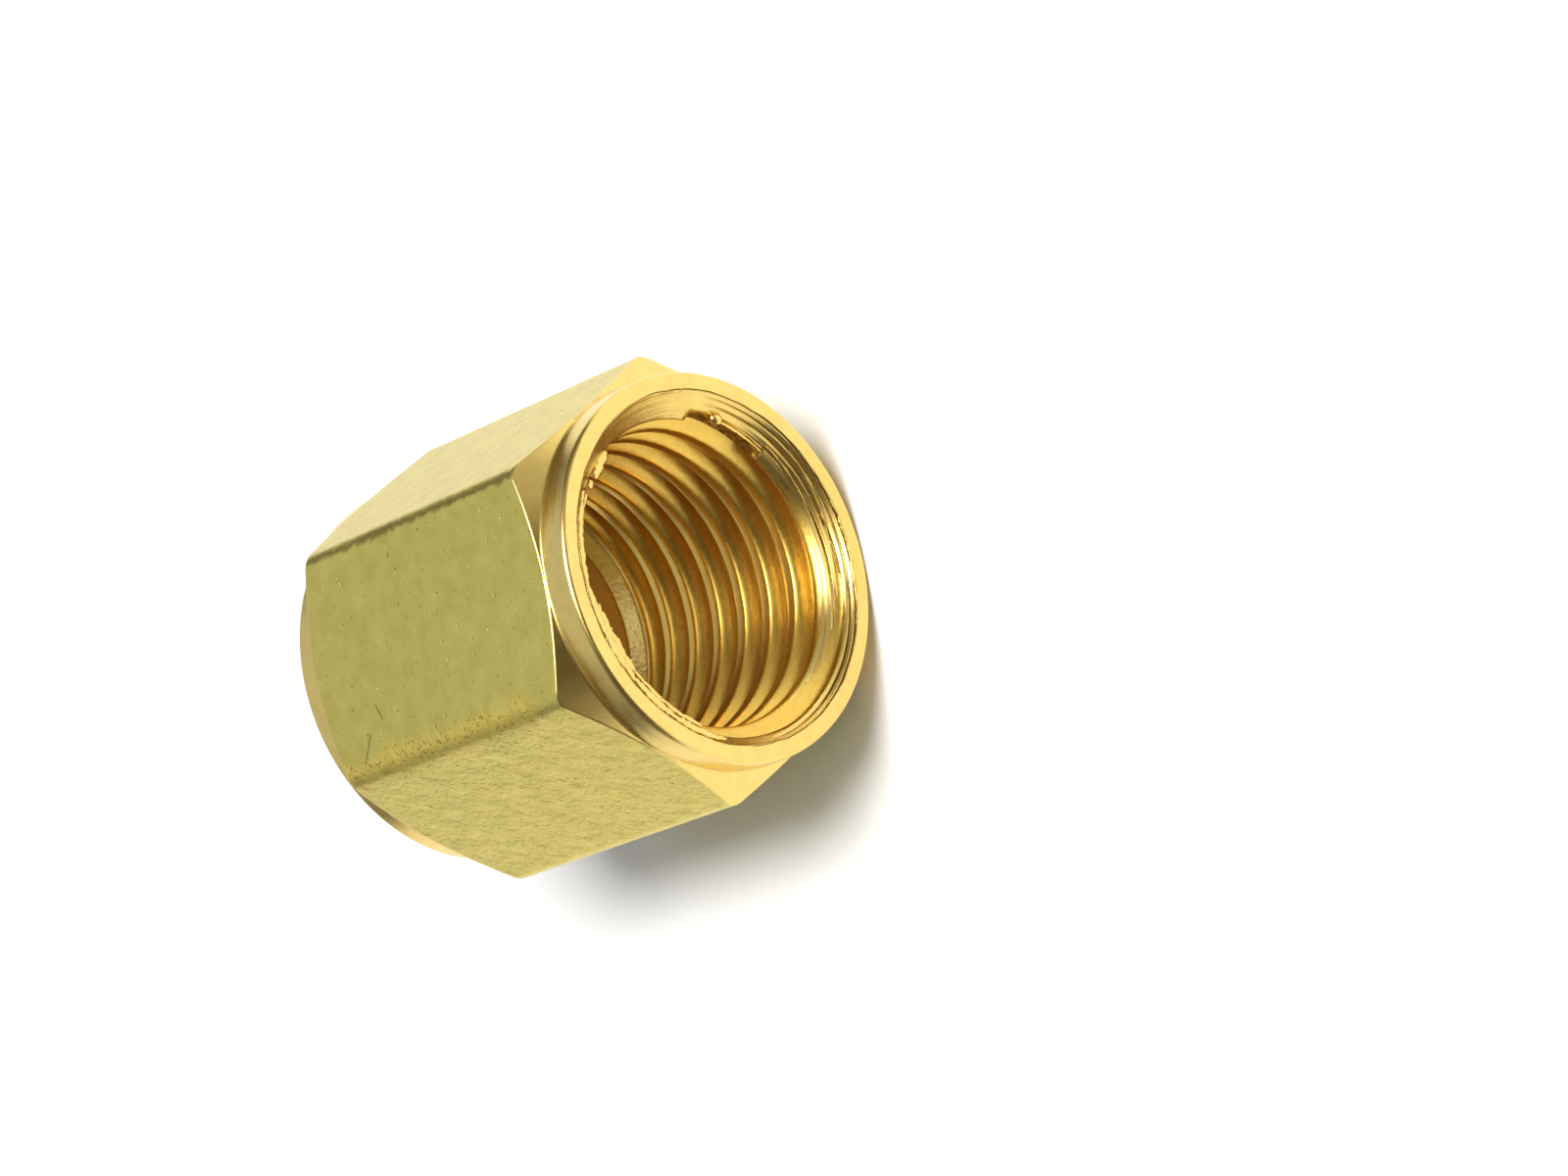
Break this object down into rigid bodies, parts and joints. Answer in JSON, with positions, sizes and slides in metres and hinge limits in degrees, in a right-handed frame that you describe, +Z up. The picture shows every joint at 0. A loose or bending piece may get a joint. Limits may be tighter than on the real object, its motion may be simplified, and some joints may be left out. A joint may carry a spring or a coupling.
{
  "type": "hose nut",
  "caption": "Brass hexagon hose nut: threaded bore open at one end, plain stem hole through the other, short round collars at both ends.",
  "frame": {"origin": "on the floor, under the middle of the nut as it lies on one flat", "axes": "+X across two long corners, -Y along the bore and out of its threaded mouth, +Z up through the flat on top"},
  "size_m": [0.0126, 0.0116, 0.0111],
  "materials": {
    "brass": "bright drawn and turned"
  },
  "bodies": {
    "root": {"hose_nut": "brass"}
  },
  "joints": []
}
